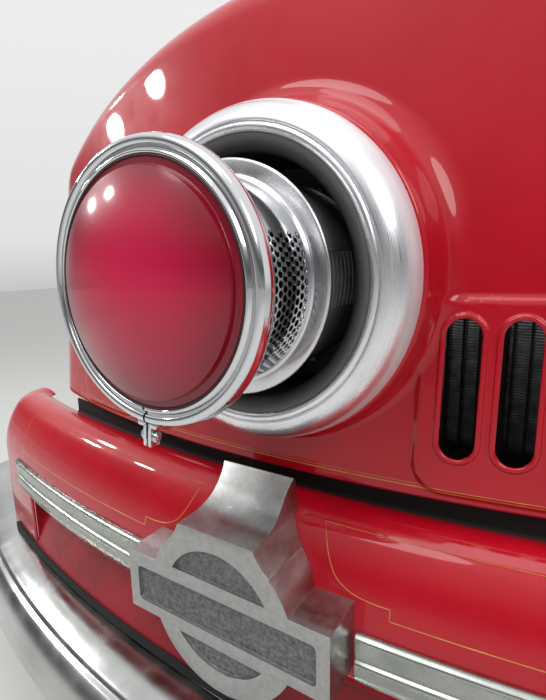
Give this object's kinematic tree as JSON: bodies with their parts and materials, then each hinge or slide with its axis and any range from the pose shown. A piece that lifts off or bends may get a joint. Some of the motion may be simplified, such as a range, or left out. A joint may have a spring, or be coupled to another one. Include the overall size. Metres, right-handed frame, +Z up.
{
  "type": "fire engine nose section with siren light",
  "caption": "Front of a classic fire engine: a red domed siren light on a perforated drum in a polished ring, set in the red nose over a rolled valance, emblem bracket and bumper.",
  "frame": {"origin": "centre of the four bolt holes in the rear face of the support frame, on the siren lamp's axis", "axes": "+X to the viewer's right as one faces the nose, +Y to the vehicle's rear along the lamp's axis, +Z up"},
  "size_m": [2.0979, 0.585, 0.9829],
  "materials": {
    "red_glass": "gloss",
    "black_rubber": "matt",
    "chrome_plate": "polished",
    "bright_steel": "satin",
    "silvered": "polished",
    "brass_fitting": "satin",
    "clear_glass": "gloss",
    "black_enamel": "semi-gloss",
    "rotor_alloy": "satin",
    "black_frame": "satin",
    "polished_alloy": "polished",
    "grey_well": "satin",
    "red_paint": "gloss",
    "dark_red_paint": "gloss",
    "bright_strip": "polished",
    "cast_alloy": "satin",
    "radiator_black": "matt"
  },
  "bodies": {
    "nose": {"lens": "red_glass", "lens_gasket": "black_rubber", "rim": "chrome_plate", "clamp_screw": "bright_steel", "clamp_nut": "bright_steel", "lamp_shell": "chrome_plate", "reflector": "silvered", "bulb_socket": "brass_fitting", "bulb": "clear_glass", "guard": "chrome_plate", "intake_ring": "chrome_plate", "stator": "black_enamel", "motor_housing": "black_enamel", "motor_cap": "black_enamel", "siren_bracket": "black_frame", "trim_ring": "polished_alloy", "ring_well": "grey_well", "nose_shell": "red_paint", "valance": "red_paint", "lower_pan": "dark_red_paint", "strip_left": "bright_strip", "strip_right": "bright_strip", "emblem_bracket": "cast_alloy", "bumper": "chrome_plate", "bumper_iron_left": "black_frame", "bumper_iron_right": "black_frame", "rail_left": "black_frame", "rail_right": "black_frame", "support_frame": "black_frame", "radiator_core": "radiator_black"},
    "rotor": {"rotor": "rotor_alloy", "rotor_shaft": "bright_steel"}
  },
  "joints": [
    {"name": "rotor_spin", "type": "hinge", "parent": "nose", "child": "rotor", "pos_m": [0, -0.395, 0], "axis": [0, 1, 0], "continuous": true}
  ]
}
